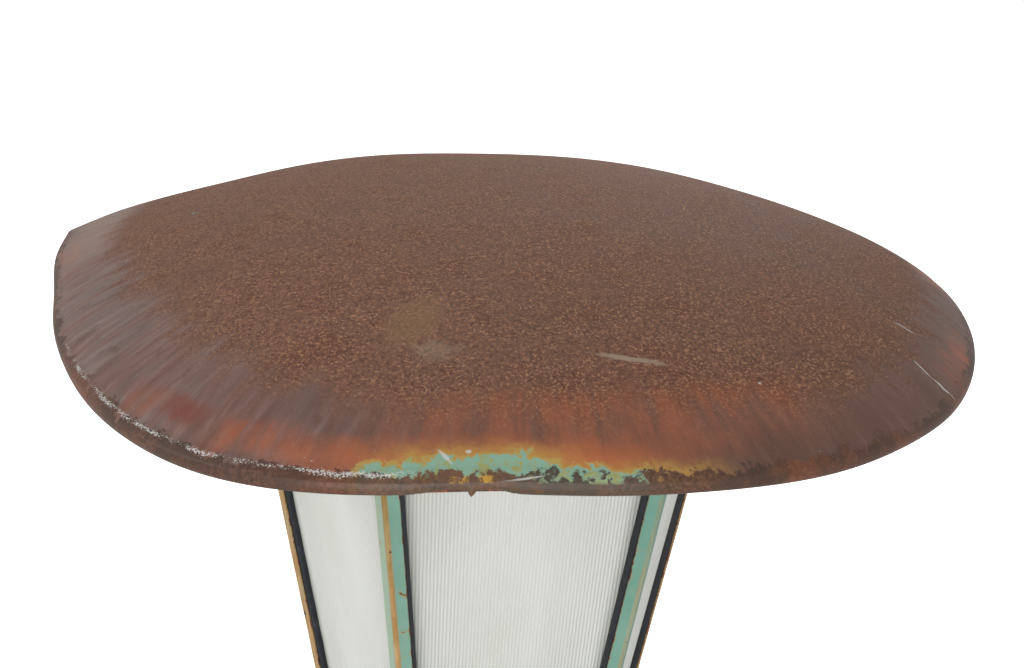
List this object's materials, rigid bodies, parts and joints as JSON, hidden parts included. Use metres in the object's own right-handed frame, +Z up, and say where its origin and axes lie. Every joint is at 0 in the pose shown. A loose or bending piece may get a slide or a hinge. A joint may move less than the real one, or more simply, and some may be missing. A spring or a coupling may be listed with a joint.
{
  "type": "hexagonal lantern head",
  "caption": "Tapered hexagonal glazed lantern with a broad domed steel roof, a hinged back pane and a socket for a round post.",
  "frame": {"origin": "centre of the post socket's mouth, at the bottom of the lantern", "axes": "+Z up; -Y is the front face; the hinged pane looks along +Y"},
  "size_m": [0.882, 0.849, 1.0099],
  "materials": {
    "rusted_roof_steel": "rusted, matte",
    "green_painted_steel": "old gloss paint, chipped",
    "black_rubber": "matte",
    "reeded_glass": "fine vertical reeds",
    "bulb_glass": "frosted",
    "brass": "dull",
    "porcelain": "glazed",
    "white_enamel": "gloss enamel",
    "primed_steel": "red-brown primer",
    "fastener_steel": "dull zinc"
  },
  "bodies": {
    "lantern": {"corner_bar_1": "green_painted_steel", "corner_bar_2": "green_painted_steel", "corner_bar_3": "green_painted_steel", "corner_bar_4": "green_painted_steel", "corner_bar_5": "green_painted_steel", "corner_bar_6": "green_painted_steel", "glass_pane_1": "reeded_glass", "glass_pane_2": "reeded_glass", "glass_pane_3": "reeded_glass", "glass_pane_5": "reeded_glass", "glass_pane_6": "reeded_glass", "pane_gasket_1": "black_rubber", "pane_gasket_2": "black_rubber", "pane_gasket_3": "black_rubber", "pane_gasket_5": "black_rubber", "pane_gasket_6": "black_rubber", "glazing_bead_1": "green_painted_steel", "glazing_bead_2": "green_painted_steel", "glazing_bead_3": "green_painted_steel", "glazing_bead_5": "green_painted_steel", "glazing_bead_6": "green_painted_steel", "top_ring": "green_painted_steel", "bottom_ring": "green_painted_steel", "reflector_plate": "white_enamel", "base_tray": "green_painted_steel", "base_bolts": "fastener_steel", "base_nuts": "fastener_steel", "post_socket": "green_painted_steel", "set_screws": "fastener_steel", "cable_grommet": "black_rubber", "terminal_block": "porcelain", "lamp_stem": "primed_steel", "stem_foot_screws": "fastener_steel", "lamp_holder": "porcelain", "bulb_cap": "brass", "lamp_bulb": "bulb_glass", "roof_skin": "rusted_roof_steel", "rim_wire": "primed_steel", "roof_ribs": "primed_steel", "roof_hub": "primed_steel", "roof_seat_ring": "primed_steel", "roof_sleeves": "fastener_steel", "roof_studs": "fastener_steel", "roof_nuts": "fastener_steel", "hinge_brackets": "fastener_steel", "hinge_pins": "fastener_steel", "socket_plate": "green_painted_steel", "socket_gussets": "green_painted_steel", "button_screw": "fastener_steel", "button_spacer": "fastener_steel", "button_nut": "fastener_steel"},
    "door": {"door_frame": "green_painted_steel", "door_gasket": "black_rubber", "door_glass": "reeded_glass", "door_bead": "green_painted_steel", "hinge_leaves": "fastener_steel", "hinge_rivets": "fastener_steel"},
    "button": {"turn_button": "fastener_steel"}
  },
  "joints": [
    {"name": "door_hinge", "type": "hinge", "parent": "lantern", "child": "door", "pos_m": [0.09814, 0.18515, 0.51555], "axis": [-0.0675, -0.1169, -0.9909], "range_deg": [0, 110]},
    {"name": "button_pivot", "type": "hinge", "parent": "lantern", "child": "button", "pos_m": [0, 0.13379, 0.15092], "axis": [0, 0.9931, -0.1171], "range_deg": [0, 90]}
  ]
}
